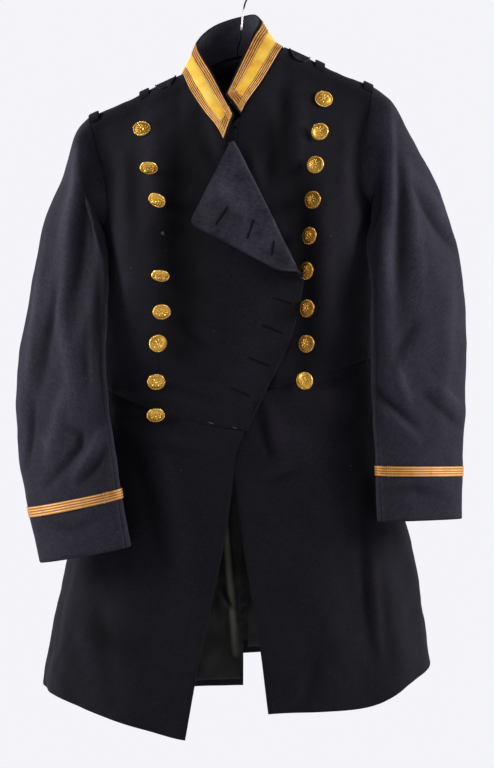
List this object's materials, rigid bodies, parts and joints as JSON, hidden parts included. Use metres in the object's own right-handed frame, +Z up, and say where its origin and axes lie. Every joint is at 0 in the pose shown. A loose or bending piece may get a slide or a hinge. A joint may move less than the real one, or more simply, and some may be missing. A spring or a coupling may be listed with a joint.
{
  "type": "double-breasted military dress coat on a hanger",
  "caption": "Double-breasted military dress coat with stand collar, gold lace, gilt buttons and open skirts, hanging on a plain hanger.",
  "frame": {"origin": "the top of the hanger's hook, inside its bend, where the rail holds it", "axes": "+Z up, +Y from the coat's front to its back, +X to the wearer's left"},
  "size_m": [0.5726, 0.2281, 0.9711],
  "materials": {
    "cloth": "navy wool broadcloth, almost black, with a soft nap",
    "lace": "woven gold lace with lengthwise ribs",
    "field": "yellow silk facing",
    "gilt": "gilt, slightly worn",
    "lining": "black silk lining with a green cast",
    "hanger": "black painted wood",
    "wire": "bright steel wire"
  },
  "bodies": {
    "root": {"forepart_left": "cloth", "forepart_right": "cloth", "lapel_left": "cloth", "lapel_right": "cloth", "side_body_left": "cloth", "side_body_right": "cloth", "back_left": "cloth", "back_right": "cloth", "skirt_left": "cloth", "skirt_right": "cloth", "top_sleeve_left": "cloth", "top_sleeve_right": "cloth", "under_sleeve_left": "cloth", "under_sleeve_right": "cloth", "collar": "cloth", "collar_field": "field", "collar_lace_top": "lace", "collar_lace_bottom": "lace", "collar_lace_end_left": "lace", "collar_lace_end_right": "lace", "cuff_lace_left": "lace", "cuff_lace_right": "lace", "loop_inner_left": "cloth", "loop_inner_right": "cloth", "loop_outer_left": "cloth", "loop_outer_right": "cloth", "patch_left": "cloth", "patch_right": "cloth", "button_left_1": "gilt", "button_left_2": "gilt", "button_left_3": "gilt", "button_left_4": "gilt", "button_left_5": "gilt", "button_left_6": "gilt", "button_left_7": "gilt", "button_left_8": "gilt", "button_left_9": "gilt", "button_right_1": "gilt", "button_right_2": "gilt", "button_right_3": "gilt", "button_right_4": "gilt", "button_right_5": "gilt", "button_right_6": "gilt", "button_right_7": "gilt", "button_right_8": "gilt", "lining_left": "lining", "lining_right": "lining", "hanger": "hanger", "hook": "wire"}
  },
  "joints": []
}
